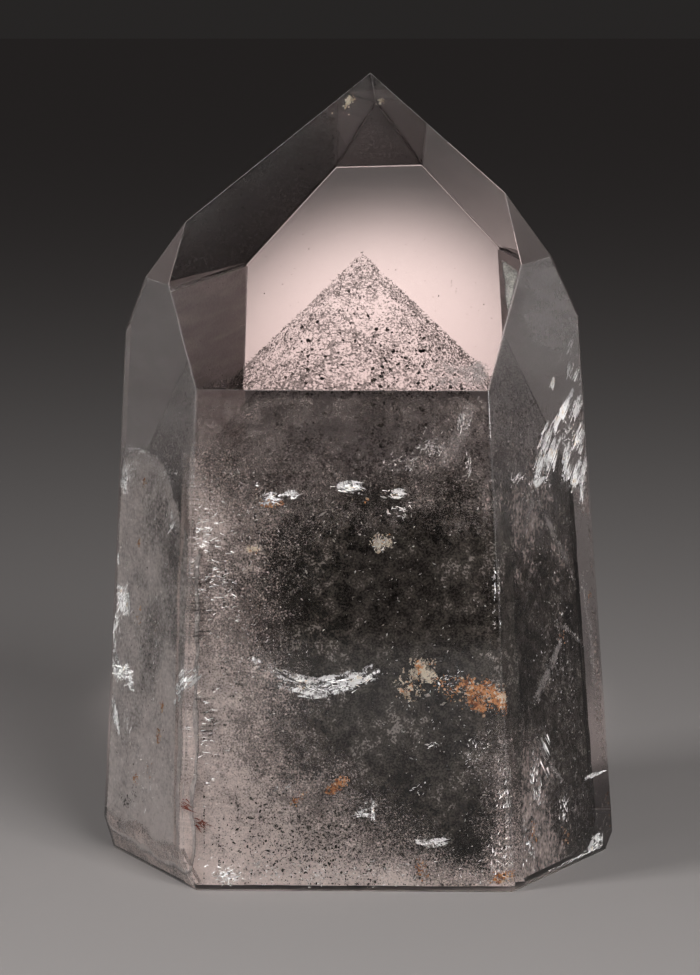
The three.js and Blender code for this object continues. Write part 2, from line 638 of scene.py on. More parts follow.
# Haze. The front's reaches this far to the right at each height, in millimetres.
FRONT_HAZE_HIGH = (0, 2, 5, 12, 20, 30, 40, 50, 56, 66)
FRONT_HAZE_EDGE = (19, 12, 3, -6.5, -13.5, -17.5, -17.5, -14, -16, -17)


def front_haze_cover(along, high, ragged):
    edge = np.interp(high, FRONT_HAZE_HIGH, FRONT_HAZE_EDGE)
    spread = np.interp(high, (0, 10, 20, 60), (18, 17, 13, 12))
    below_top = 1 - 0.5 * smooth(high + ragged, 52, 60)
    thick = 1.15 * smooth((edge + 0.9 * ragged - along) / spread, -1, 1) * below_top
    right_low = 0.42 * smooth(along + ragged, 13, 21) * smooth(high + ragged, 26, 12)
    return (thick + right_low) * smooth(high + 0.6 * ragged, 66, 56)


def front_top_cover(along, high, ragged):
    """A smooth haze in the clear cap over the phantom's shoulders."""
    return 0.3 * smooth(high + 0.6 * ragged, 44, 54) * smooth(high, 67.6, 66.4)


def front_moss_cover(along, high, ragged):
    right = 0.4 + 0.6 * smooth(along + ragged, -18, 2)
    below_top = smooth(58 - high - 0.9 * ragged, 0, 11)
    above_foot = 0.5 + 0.5 * smooth(high + ragged, 3, 15)
    return right * below_top * above_foot * smooth(np.abs(along), 22.8, 21)


def left_haze_cover(along, high, ragged):
    top = 58.6 - 0.035 * (along + 5) ** 2 + 0.35 * ragged
    below_top = smooth(top - high, -0.5, 2.5)
    rim = smooth(np.abs(top - 1.6 - high), 2.6, 0)
    foot = smooth(high + ragged, 20, 4)
    left_edge = smooth(along + ragged, -4, -13)
    uneven = 0.07 * ragged * smooth(high, 6, 16)
    return below_top * np.clip(0.78 + uneven + 0.3 * rim + 0.3 * foot + 0.2 * left_edge, 0.2, 1.15)


def right_haze_cover(along, high, ragged):
    """Streaky haze low on the left of this side, clouds in the middle, and a strip down its right edge."""
    border = 3.5 - 0.45 * np.maximum(high - 2, 0)
    low = smooth(border + 0.8 * ragged - along, -3, 3) * smooth(high + ragged, 26, 14) * 0.46
    middle = smooth(high + 2 * ragged, 38, 50) * smooth(62 - high + 2 * ragged, 0, 10) * 0.45
    edge = smooth(along + 0.5 * ragged, 14, 18) * 0.35 * smooth(high + 0.3 * ragged, 9, 12)
    return np.clip(low + middle + edge + 0.12, 0, 1) * smooth(along, -16, -10)


def bevel_haze_cover(along, high, ragged):
    return np.clip(0.75 + 0.05 * ragged, 0, 1)


def tip_film_cover(along, high, ragged):
    """A silvery film under the right edge of the tip's front face."""
    from_left = smooth(along + 0.14 * (high - 86), 19.2, 20.0)
    from_top = smooth(85.4 - 0.7 * (along - 19.6) - high, 0, 1.2)
    return (0.8 + 0.05 * ragged) * from_left * from_top * smooth(high, 73, 77)


def drop_bare_faces(sheet, cover, least):
    """Deletes the faces of a sheet that hold less dust than this at every corner, or stand out anywhere."""
    pick(sheet)
    bpy.ops.object.mode_set(mode="EDIT")
    bpy.ops.mesh.select_all(action="DESELECT")
    bpy.ops.object.mode_set(mode="OBJECT")
    for face in sheet.data.polygons:
        values = cover[list(face.vertices)]
        face.select = values.min() <= STANDS_OUT or values.max() < least
    bpy.ops.object.mode_set(mode="EDIT")
    bpy.ops.mesh.delete(type="FACE")
    bpy.ops.object.mode_set(mode="OBJECT")


def dust_sheet(name, face, along_span, high_span, deep, cover_of, seed, cell=0.5):
    """A wavy sheet of dust behind one face, as thick at each corner as cover_of says."""
    columns = round((along_span[1] - along_span[0]) / cell)
    rows = round((high_span[1] - high_span[0]) / cell)
    deselect_all()
    bpy.ops.mesh.primitive_grid_add(x_subdivisions=columns, y_subdivisions=rows, size=1)
    sheet = bpy.context.object
    sheet.name = name
    share = corner_array(sheet) + 0.5
    along = along_span[0] + share[:, 0] * (along_span[1] - along_span[0])
    high = high_span[0] + share[:, 1] * (high_span[1] - high_span[0])
    flat = np.stack([along, high, np.full(len(along), float(seed))], axis=1) * MM
    wave = 0.9 * (lumps(flat, 6 * MM, seed) - 0.5) + 0.4 * (lumps(flat, 1.7 * MM, seed + 1) - 0.5)
    ragged = 9 * (lumps(flat, 7 * MM, seed + 2) - 0.5) + 5 * (lumps(flat, 2.2 * MM, seed + 3) - 0.5)
    places = behind(face, along * MM, high * MM, (deep + wave) * MM)
    cover = cover_of(along, high, ragged)
    others = [other for other in OUTSIDE if other is not face and other[0].z > -0.9]
    full = LEAST_DEPTH + 1.6 * cell * MM
    cover = cover * smooth(depth_inside(places, others), LEAST_DEPTH, full)
    cover[depth_inside(places, OUTSIDE) < LEAST_DEPTH] = STANDS_OUT
    set_corners(sheet, places)
    note(sheet, "cover", cover)
    drop_bare_faces(sheet, cover, 0.05)
    thicken(sheet)
    return sheet


# The cloudy tops of the crystal's sides: which way each looks, where it begins, where it is full, how
# thick, and how much of that it loses towards its left edge.
FLANK_VEILS = (
    (62, 40, 56, 0.1, 0.0),
    (62, 64, 74, 0.26, 0.6),
    (296, 50, 60, 0.2, 0.0),
    (240.5, 50, 58, 0.6, 0.0),
    (113.5, 52, 62, 0.95, 0.0),
)


def make_faint_veil():
    """A breath of dust just inside the tip's back faces and the tops of the two flanks."""
    shell = saw_crystal("faint_veil", OUTSIDE, inwards=VEIL_DEPTH)
    pick(shell)
    bpy.ops.object.mode_set(mode="EDIT")
    bpy.ops.mesh.select_all(action="SELECT")
    bpy.ops.mesh.edge_split(type="EDGE")
    bpy.ops.mesh.quads_convert_to_tris()
    for _ in range(4):
        bpy.ops.mesh.subdivide(number_cuts=1)
    bpy.ops.object.mode_set(mode="OBJECT")
    normals = normals_of(shell)
    places = corner_array(shell)
    high = places[:, 2] / MM
    behind_tip = smooth(normals[:, 1], 0.1, 0.3) * smooth(normals[:, 2], 0.3, 0.45)
    upper_back = smooth(normals[:, 1], 0.75, 0.83) * behind_tip
    cover = 0.07 * behind_tip + 0.09 * upper_back
    for azimuth, low, full, thick, loses in FLANK_VEILS:
        turn = math.radians(azimuth)
        way = np.array((math.sin(turn), -math.cos(turn), 0.0))
        along = places @ np.array((-way[1], way[0], 0.0)) / MM
        thinner = 1 - loses * smooth(along, 4, -9)
        cover += thick * thinner * smooth(normals @ way, 0.93, 0.98) * smooth(high, low, full)
    note(shell, "cover", cover)
    drop_bare_faces(shell, cover, 0.01)
    thicken(shell)
    ride(shell, faint_veil())


# Tones of the haze, from its dark to its light: rosy, grey and silvery.
ROSY = (0.17, 0.138, 0.126), (0.82, 0.69, 0.64)
GREY = (0.26, 0.232, 0.22), (0.72, 0.65, 0.62)
SILVERY = (0.3, 0.285, 0.26), (0.86, 0.83, 0.77)


def make_haze():
    """The sheets: material, name, face, span along, span in height, depth, cover and seed."""
    gritty = pale_haze("gritty haze", 0.8, *ROSY)
    soft_left = pale_haze("soft haze left", 0.3, *GREY, -64, 2.0)
    soft_top = pale_haze("soft haze top", 0.3, *ROSY)
    soft_right = pale_haze("soft haze right", 0.5, *ROSY, 62, 2.6)
    silvery = pale_haze("silvery haze", 0.2, *SILVERY)
    sheets = (
        (gritty, "haze_front", FRONT, (-25, 24), (0.5, 67.5), 1.8, front_haze_cover, 301),
        (gritty, "haze_front_deep", FRONT, (-24, 24), (0.5, 62), 4.2, front_haze_cover, 311),
        (soft_top, "haze_top", FRONT, (-24, 24), (40, 67.5), 1.4, front_top_cover, 321),
        (soft_left, "haze_left", LEFT, (-16, 18), (0.5, 60), 1.6, left_haze_cover, 331),
        (soft_right, "haze_right", RIGHT, (-17, 22), (0.5, 64), 3.2, right_haze_cover, 341),
        (gritty, "haze_bevel", BEVEL, (-18, 18), (0.2, 12), 1.0, bevel_haze_cover, 351),
    )
    for material, name, *where in sheets:
        ride(dust_sheet(name, *where), material)
    film = dust_sheet("haze_film", TIP, (18.5, 24), (72, 90), 0.45, tip_film_cover, 371, cell=0.2)
    ride(film, silvery)
    moss = dust_sheet("moss_front", FRONT, (-23, 23), (0.5, 60), 5.4, front_moss_cover, 361)
    ride(moss, chlorite_dust())
    make_faint_veil()


# Grains.


def grain_shape(sides):
    """One grain: a stubby shard with this many sides, a little out of true."""
    deselect_all()
    bpy.ops.mesh.primitive_cone_add(vertices=sides, radius1=1.0, radius2=0.0, depth=1.5)
    grain = bpy.context.object
    bpy.ops.object.mode_set(mode="EDIT")
    bpy.ops.mesh.select_all(action="SELECT")
    bpy.ops.mesh.quads_convert_to_tris()
    bpy.ops.object.mode_set(mode="OBJECT")
    corners = corner_array(grain)
    corners *= 0.7 + 0.6 * lumps(corners + 3.0, 0.8, 5)[:, None]
    faces = np.array([face.vertices[:] for face in grain.data.polygons])
    bpy.data.objects.remove(grain)
    return corners, faces


def random_turns(count, rng):
    spin = rng.normal(size=(count, 4))
    spin /= np.linalg.norm(spin, axis=1)[:, None]
    w, x, y, z = spin.T
    return np.stack([
        1 - 2 * (y * y + z * z), 2 * (x * y - w * z), 2 * (x * z + w * y),
        2 * (x * y + w * z), 1 - 2 * (x * x + z * z), 2 * (y * z - w * x),
        2 * (x * z - w * y), 2 * (y * z + w * x), 1 - 2 * (x * x + y * y),
    ], axis=1).reshape(count, 3, 3)


def scatter(name, shape, places, sizes, rng, stretch=(1.0, 1.0, 1.0)):
    """Copies of one small shape at the given places, each turned at random, joined in one mesh."""
    corners, faces = shape
    count = len(places)
    shaped = corners * np.array(stretch)
    placed = np.einsum("nij,kj->nki", random_turns(count, rng), shaped) * sizes[:, None, None]
    placed = placed + places[:, None, :]
    linked = faces[None] + (np.arange(count) * len(corners))[:, None, None]
    return new_piece(name, placed.reshape(-1, 3), linked.reshape(-1, faces.shape[1]))


def points_on(faces_mesh, count, rng):
    """Points spread evenly over a mesh of flat faces."""
    mesh = faces_mesh.data
    mesh.calc_loop_triangles()
    corners = corner_array(faces_mesh)
    triangles = np.array([t.vertices[:] for t in mesh.loop_triangles])
    a, b, c = (corners[triangles[:, i]] for i in range(3))
    areas = np.linalg.norm(np.cross(b - a, c - a), axis=1) / 2
    chosen = rng.choice(len(triangles), count, p=areas / areas.sum())
    u, v = rng.random((2, count, 1))
    over = (u + v) > 1
    u = np.where(over, 1 - u, u)
    v = np.where(over, 1 - v, v)
    return a[chosen] + u * (b - a)[chosen] + v * (c - a)[chosen]


def depth_inside(places, faces):
    """How far each place lies inside the nearest face."""
    depths = [(places - np.array(point)) @ np.array(normal) for normal, point in faces]
    return -np.max(depths, axis=0)


def keep_inside(places, faces, margin):
    """The places that lie at least this far inside all the faces."""
    return places[depth_inside(places, faces) > margin]


def grains_at(name, material, places, rng, sides, size, varies, stretch, most=math.inf):
    """A piece with one grain at each place. size is the usual half width, and most the largest."""
    sizes = np.minimum(rng.lognormal(math.log(size), varies, len(places)), most) * MM
    grains = scatter(name, grain_shape(sides), places, sizes, rng, stretch)
    return ride(grains, material)


def points_in(faces, count, rng):
    """Points spread evenly through the space inside the faces."""
    low, high = np.array(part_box(CRYSTAL))
    places = low + rng.random((count, 3)) * (high - low)
    return keep_inside(places, faces, GRAIN_DEPTH)


def make_tip_grains(rng):
    """Dashes and clumps of chlorite on the phantom's pyramid, thickest along its right edge."""
    core = saw_crystal("core", PHANTOM_FACES)
    places = points_on(core, 120000, rng)
    bpy.data.objects.remove(core)
    places = places[places[:, 2] > 50 * MM]
    x, y, z = (places / MM).T
    on_tip = smooth(z, 52, 58)
    edge_high = PHANTOM_TIP_HIGH - np.abs(x - 0.5) / math.tan(math.radians(43))
    from_edge = edge_high - z
    right_edge = smooth(from_edge, 6.0, 1.5) * smooth(x, 3, 6)
    clumps = smooth(lumps(places, 1.3 * MM, 21) + 0.4 * lumps(places, 4 * MM, 22), 0.62, 1.0)
    chance = 0.28 + 0.32 * clumps + 0.6 * right_edge
    kept = places[rng.random(len(places)) < chance * on_tip * 0.98]
    material = chlorite("tip chlorite", (0.09, 0.073, 0.066), (0.24, 0.2, 0.185), 0.62)
    grains_at(
        "tip_grains", material, kept, rng,
        sides=5, size=0.062, varies=0.42, stretch=(1.9, 0.9, 0.6), most=0.14,
    )


def chlorite_share(places):
    """How thick the chlorite lies in the prism, from 0 to 1."""
    x, y, z = (places / MM).T
    ragged = 9 * (lumps(places, 7 * MM, 31) - 0.5) + 4 * (lumps(places, 2.5 * MM, 32) - 0.5)
    right = smooth(x + ragged, -20, 6)
    under_tip = 1 - 0.85 * smooth(z + 1.3 * ragged, 48, 68)
    above_foot = 0.35 + 0.65 * smooth(z + ragged, 4, 18)
    return right * under_tip * above_foot


def make_chlorite_cloud(name, material, low, high, rng):
    """Mossy clumps of grains, thickest close under the phantom's faces."""
    places = points_in(PHANTOM_FACES, 150000, rng)
    places = places[(places[:, 0] >= low * MM) & (places[:, 0] < high * MM)]
    near = np.exp(-depth_inside(places, PHANTOM_FACES) / (5 * MM))
    clumps = smooth(lumps(places, 1.1 * MM, 33) + 0.6 * lumps(places, 3.5 * MM, 34), 0.6, 1.1)
    chance = chlorite_share(places) * near * (0.15 + 1.6 * clumps)
    kept = places[rng.random(len(places)) < chance]
    grains_at(
        name, material, kept, rng,
        sides=5, size=0.15, varies=0.45, stretch=(1.3, 1.0, 0.7), most=0.34,
    )


# Chlorite grains in front of the haze, and specks and a scratch behind the tip's front face: along, high,
# deep, half width, half height, count.
FRONT_PEPPER = (
    (0.0, 8.0, 1.0, 17.0, 6.0, 3450),
    (-4.0, 5.0, 1.0, 12.0, 4.0, 1800),
    (-16.0, 58.0, 1.6, 3.0, 6.0, 390),
    (-10.0, 44.0, 1.6, 8.0, 12.0, 1950),
    (-12.0, 24.0, 1.4, 7.0, 12.0, 1350),
)
TIP_PEPPER = (
    (0.0, 80.0, 0.5, 22.0, 14.0, 420),
    (13.0, 81.4, 0.5, 0.1, 0.5, 12),
    (13.6, 80.4, 0.5, 0.1, 0.4, 9),
    (-19.4, 69.4, 0.6, 1.2, 0.9, 40),
)
LEFT_TUFTS = (
    (-5.6, 8.3, 1.0, 1.6, 1.0, 110),
    (-8.1, 4.8, 0.9, 1.0, 0.6, 50),
    (0.5, 5.3, 1.0, 1.6, 0.8, 60),
    (8.3, 4.3, 1.0, 1.4, 0.8, 60),
    (-3.0, 10.0, 1.0, 0.9, 1.0, 40),
    (0.0, 30.0, 1.2, 9.0, 22.0, 300),
)


def make_pepper(material, rng):
    places = np.concatenate([strewn(FRONT, FRONT_PEPPER, rng), strewn(LEFT, LEFT_TUFTS, rng)])
    places = keep_inside(places, OUTSIDE, GRAIN_DEPTH)
    grains_at(
        "pepper", material, places, rng,
        sides=5, size=0.06, varies=0.5, stretch=(1.6, 1.0, 0.6), most=0.2,
    )
    specks = keep_inside(strewn(TIP, TIP_PEPPER, rng), OUTSIDE, LEAST_DEPTH)
    grains_at(
        "tip_specks", material, specks, rng,
        sides=5, size=0.035, varies=0.4, stretch=(1.6, 1.0, 0.6), most=0.1,
    )


def make_pale_specks(rng):
    """Bright specks in the chlorite, most of them on the left and low down."""
    places = points_in(PHANTOM_FACES, 260000, rng)
    x, y, z = (places / MM).T
    near = np.exp(-depth_inside(places, PHANTOM_FACES) / (3 * MM))
    spread = 0.25 + 0.6 * smooth(x, 4, -16) + 0.5 * smooth(z, 24, 6)
    chance = spread * near * smooth(z, 66, 54) * smooth(lumps(places, 1.6 * MM, 41), 0.25, 0.8)
    kept = places[rng.random(len(places)) < chance * 0.6]
    grains_at(
        "pale_specks", bright_flake(), kept, rng,
        sides=4, size=0.055, varies=0.5, stretch=(1.8, 1.0, 0.5),
    )


def strewn(face, patches, rng):
    """Places strewn round the middle of patches of along, high, deep, half width, half height, count."""
    places = []
    for along, high, deep, wide, tall, count in patches:
        off = np.clip(rng.normal(size=(count, 3)), -2, 2)
        spot_along = (along + wide * 0.6 * off[:, 0]) * MM
        spot_high = (high + tall * 0.6 * off[:, 1]) * MM
        spot_deep = (deep + 0.4 * np.abs(off[:, 2])) * MM
        places.append(behind(face, spot_along, spot_high, spot_deep))
    return np.concatenate(places)


# Cracks.


# How the sheets behind each face lie, so that they catch the key or the left light: how much deeper for
# each millimetre along and each millimetre up.
FRONT_TILT = (0.2, 0.14)
RIGHT_TILT = (-0.5, 0.12)
LEFT_TILT = (0.34, 0.12)
NO_TILT = (0.0, 0.0)


def steps_along(line):
    """How far along a line each of its points lies."""
    return np.concatenate([[0], np.cumsum(np.linalg.norm(np.diff(line, axis=0), axis=1))])


def rounded_line(line, cell):
    """A line in even steps about as long as a cell, with its corners rounded: how far on, and where."""
    line = np.array(line) * MM
    steps = steps_along(line)
    count = max(3, round(steps[-1] / cell))
    t = np.linspace(0, steps[-1], count + 1)
    middle = np.stack([np.interp(t, steps, line[:, 0]), np.interp(t, steps, line[:, 1])], axis=1)
    for _ in range(max(1, count // 12)):
        middle[1:-1] = (middle[:-2] + 2 * middle[1:-1] + middle[2:]) / 4
    return t, middle


def grid_faces(rows, columns):
    """Each cell of a grid of corners as a face."""
    row, column = np.meshgrid(np.arange(rows), np.arange(columns), indexing="ij")
    first = (row * (columns + 1) + column).ravel()
    return np.stack([first, first + 1, first + columns + 2, first + columns + 1], axis=1)


def ragged_ribbon(
    face, line, wide, deep, seed, streak=1.0, tilt=NO_TILT, holes=0.1, cell=0.18, ridge=0.1
):
    """A ragged sheet behind a face, along a line of (along, high) points. Its ridges run along the line.

    Each corner's values are its body, from 0 at the torn rim to 1 in the middle, and its streaks."""
    cell = cell * MM
    wide = wide * MM
    t, middle = rounded_line(line, cell)
    b = np.linspace(-1, 1, max(3, round(wide / cell)) + 1)
    across = (b * wide / 2)[None, :]
    way = np.gradient(middle, axis=0)
    way /= np.linalg.norm(way, axis=1)[:, None]
    side = np.stack([-way[:, 1], way[:, 0]], axis=1)
    grid = middle[:, None, :] + side[:, None, :] * across[..., None]
    pattern = np.stack(np.broadcast_arrays(t[:, None] / streak, across, seed * MM), axis=-1)
    pattern = pattern.reshape(-1, 3)
    wave = (lumps(pattern, 2.2 * MM, seed) - 0.5) * 0.6 * MM
    wave += (lumps(pattern, 0.7 * MM, seed) - 0.5) * 0.25 * MM
    wave += (lumps(pattern, 0.34 * MM, seed + 3) - 0.5) * ridge * MM
    off = grid - middle.mean(axis=0)
    depth = deep * MM + wave.reshape(grid.shape[:2]) + off[..., 0] * tilt[0] + off[..., 1] * tilt[1]
    corners = behind(face, grid[..., 0], grid[..., 1], depth).reshape(-1, 3)
    faces = grid_faces(len(t) - 1, len(b) - 1)
    a = (2 * t / t[-1] - 1)[:, None]
    torn = lumps(pattern, 0.9 * MM, seed + 1) + 0.7 * lumps(pattern, 0.4 * MM, seed + 6) - 0.85
    body = 1.05 - np.abs(a) ** 3 - b[None, :] ** 2 - 1.2 * torn.reshape(grid.shape[:2])
    body = np.clip(body, 0, 1).ravel()
    fine = lumps(pattern, 0.35 * MM, seed + 2)[faces[:, 0]]
    kept = faces[(body[faces].max(axis=1) > 0.06) & (fine > holes * 0.8)]
    along_it = pattern * np.array((0.5, 1, 1))
    streaks = 0.6 * lumps(along_it, 0.3 * MM, seed + 4) + 0.4 * lumps(along_it, 0.75 * MM, seed + 5)
    used, linked = np.unique(kept, return_inverse=True)
    return corners[used], linked.reshape(-1, 4), np.stack([body, streaks], axis=1)[used]


def ribbons(face, table, seed, **kind):
    """A ragged sheet behind a face for each row of a table: line, width, depth."""
    return [
        ragged_ribbon(face, line, wide, deep, seed + i, **kind)
        for i, (line, wide, deep) in enumerate(table)
    ]


def make_sheets(name, material, shapes):
    """Ragged sheets as one piece, each a thin closed shell. What would stand out is left off."""
    corners, faces, values = join_shapes([shape for shape in shapes if len(shape[1])])
    depth = depth_inside(corners, OUTSIDE)
    used, linked = np.unique(faces[depth[faces].min(axis=1) > LEAST_DEPTH], return_inverse=True)
    sheets = new_piece(name, corners[used], linked.reshape(-1, 4))
    note(sheets, "body", values[used, 0])
    note(sheets, "streak", values[used, 1])
    thicken(sheets)
    return ride(sheets, material)


# The front's white flakes and wavy crack: line of (along, high) points, width, depth, all in millimetres.
FRONT_FLAKES = (
    (((-12.9, 52.8), (-11.4, 53.3), (-9.8, 53.4)), 1.5, 1.2),
    (((-10.2, 53.5), (-8.4, 53.9), (-6.8, 53.6)), 1.1, 1.3),
    (((-2.4, 54.8), (-0.4, 54.8), (1.4, 54.5)), 1.7, 1.2),
    (((-0.6, 54.4), (1.0, 54.2), (2.4, 54.3)), 0.8, 1.3),
    (((4.4, 54.3), (6.0, 54.2), (7.6, 53.4)), 0.9, 1.2),
    (((4.8, 53.4), (6.2, 53.3)), 0.5, 1.3),
    (((-14.0, 31.2), (-10.1, 29.1), (-8.0, 27.9), (-5.3, 27.4), (-1.9, 27.8), (3.6, 29.8)), 3.0, 2.5),
    (((-6.4, 27.9), (-3.6, 27.6), (-0.9, 28.3)), 1.3, 2.1),
    (((-0.9, 10.0), (3.0, 9.8)), 1.0, 2.5),
    (((2.6, 9.6), (2.8, 12.7)), 1.4, 2.4),
    (((0.4, 10.4), (2.4, 11.4)), 1.4, 2.7),
    (((8.2, 7.0), (9.8, 6.2), (11.6, 6.3), (12.9, 6.9)), 1.2, 2.5),
    (((-24.5, 27.6), (-22.9, 29.0), (-21.0, 29.9)), 1.5, 1.8),
)

# The feathers under the right side.
RIGHT_FEATHERS = (
    (((13.0, 65.8), (9.8, 63.4), (6.2, 61.2)), 1.2, 1.6),
    (((16.6, 65.0), (14.0, 63.2), (11.8, 61.6)), 1.8, 1.7),
    (((5.4, 61.4), (3.4, 59.0), (1.4, 56.4)), 1.4, 1.8),
    (((7.4, 60.0), (5.0, 57.4), (2.6, 54.6)), 1.4, 2.0),
    (((2.6, 57.8), (0.8, 56.0), (-0.6, 54.2)), 0.96, 2.3),
    (((17.6, 61.2), (14.6, 58.8), (11.2, 56.2)), 1.2, 1.6),
    (((18.6, 62.4), (17.0, 60.4), (15.6, 58.2)), 0.96, 1.9),
    (((11.0, 58.4), (9.4, 56.0), (8.0, 52.6)), 1.4, 1.9),
    (((14.2, 56.0), (12.4, 53.6), (10.2, 51.4)), 1.2, 1.8),
    (((17.4, 56.6), (15.4, 54.2), (13.6, 51.4)), 0.96, 2.0),
    (((14.2, 52.2), (13.8, 49.6)), 0.56, 2.2),
    (((-4.8, 55.4), (-7.6, 54.8)), 0.64, 2.2),
    (((2.6, 54.2), (0.0, 53.2)), 0.88, 2.4),
    (((6.8, 67.9), (5.4, 66.4)), 0.4, 1.6),
    (((14.4, 74.0), (12.8, 71.6), (11.4, 70.0)), 0.28, 1.4),
    (((13.2, 70.2), (11.6, 68.6), (10.4, 67.4)), 0.32, 1.5),
    (((15.2, 68.6), (13.6, 67.6), (12.2, 66.6)), 0.32, 1.5),
)

# Finer cracks under the right side.
RIGHT_CRACKS = (
    (((18.3, 18.0), (18.8, 13.0), (18.2, 10.5)), 1.6, 1.6),
    (((10.2, 10.4), (13.6, 10.9), (16.4, 10.7), (19.2, 9.6)), 0.7, 1.0),
    (((17.2, 9.9), (19.4, 9.3)), 1.3, 0.9),
    (((9.0, 0.8), (11.6, 2.2), (13.2, 2.8)), 0.9, 0.7),
    (((10.0, 0.5), (12.4, 1.2), (14.8, 1.0)), 0.9, 0.6),
)

# Dusty lines that cross the right side, softer than its cracks.
RIGHT_LINES = (
    (((-4.6, 19.0), (-1.8, 15.0), (3.8, 11.0)), 1.2, 2.5),
    (((3.2, 33.6), (8.0, 32.0), (12.3, 29.2)), 1.0, 2.5),
    (((6.1, 32.4), (2.0, 28.6), (-6.3, 22.9)), 2.4, 2.6),
    (((-0.8, 52.2), (-3.0, 49.6), (-5.6, 46.0)), 1.6, 2.8),
    (((-0.8, 52.2), (2.6, 48.6), (5.6, 45.0), (11.0, 38.0)), 2.0, 2.8),
    (((13.0, 40.0), (14.6, 30.0), (15.6, 20.0)), 2.2, 2.6),
)

LEFT_WISPS = (
    (((-11.6, 55.4), (-11.0, 53.4), (-10.8, 51.2)), 2.4, 1.2),
    (((-9.6, 56.4), (-7.0, 56.0)), 1.0, 1.4),
    (((-12.2, 38.6), (-11.2, 36.6), (-10.4, 34.2)), 2.8, 1.2),
    (((-9.2, 37.6), (-7.8, 34.0)), 2.2, 1.4),
    (((-13.4, 29.4), (-11.4, 27.0), (-9.2, 24.8)), 3.0, 1.2),
    (((-8.4, 27.2), (-6.2, 25.2), (-4.2, 24.2)), 2.2, 1.4),
    (((6.0, 50.8), (6.6, 47.2)), 0.8, 1.0),
    (((7.4, 49.8), (7.8, 47.8)), 0.5, 1.2),
    (((10.6, 26.2), (12.8, 28.0), (15.2, 30.6)), 2.2, 1.2),
    (((9.8, 24.4), (12.0, 26.2)), 1.2, 1.4),
    (((-11.2, 22.6), (-10.6, 20.0), (-9.4, 17.0)), 2.2, 1.4),
    (((-12.4, 48.4), (-12.2, 44.4), (-11.6, 41.0)), 1.6, 1.6),
    (((-12.8, 33.6), (-12.4, 29.6)), 1.6, 1.2),
    (((-8.4, 44.8), (-8.0, 40.6)), 0.8, 1.8),
)

# Soft veils: face, line of (along, high) points, width, depth.
VEILS = (
    (LEFT, ((-6.0, 20.0), (-8.0, 56.0)), 9.0, 3.0),
    (FRONT, ((12.0, 57.0), (15.0, 63.0), (16.0, 67.0)), 2.6, 4.6),
    (TIP, ((9.4, 69.8), (14.0, 69.6), (18.6, 69.4)), 3.8, 0.7),
    (TIP, ((13.0, 70.4), (18.4, 70.0)), 2.6, 1.2),
)

# Growth lines near the front's left edge: along from, along to, lowest, highest, how many.
STRIATIONS = (
    (-22.9, -19.2, 33.6, 38.8, 8),
    (-21.8, -18.6, 20.4, 26.0, 7),
)


def growth_lines():
    lines = []
    for first, last, low, high, count in STRIATIONS:
        for i in range(count):
            level = low + (high - low) * (i + 0.3 * (i % 2)) / (count - 1)
            line = ((first + 0.5 * (i % 3), level), (last - 0.4 * (i % 2), level + 0.15))
            lines.append(
                ragged_ribbon(FRONT, line, 0.26, 0.5, 400 + i, streak=3.0, holes=0.0, cell=0.07)
            )
    return lines


def make_cracks():
    white = white_fracture()
    flakes = ribbons(FRONT, FRONT_FLAKES, 100, streak=2.5, tilt=FRONT_TILT, cell=0.12)
    cracks = ribbons(RIGHT, RIGHT_CRACKS, 200, streak=3.0, tilt=RIGHT_TILT, cell=0.14)
    petals = ribbons(
        RIGHT, RIGHT_FEATHERS, 240, streak=6.0, tilt=RIGHT_TILT, cell=0.12, ridge=0.16
    )
    wisps = ribbons(LEFT, LEFT_WISPS, 500, streak=3.0, tilt=LEFT_TILT, cell=0.14)
    veils = [
        ragged_ribbon(face, line, wide, deep, 800 + i, streak=2.0, holes=0.0, cell=0.5)
        for i, (face, line, wide, deep) in enumerate(VEILS)
    ]
    veils += ribbons(RIGHT, RIGHT_LINES, 850, streak=2.0, holes=0.0, cell=0.3)
    make_sheets("white_flakes", white, flakes)
    make_sheets("right_cracks", white, cracks)
    make_sheets("feathers", white, petals)
    make_sheets("wisps", white, wisps)
    make_sheets("veils", veil("veil", (0.66, 0.6, 0.58, 1), 0.5), veils)
    make_sheets("growth_lines", veil("growth line", (0.1, 0.082, 0.072, 1), 0.7), growth_lines())


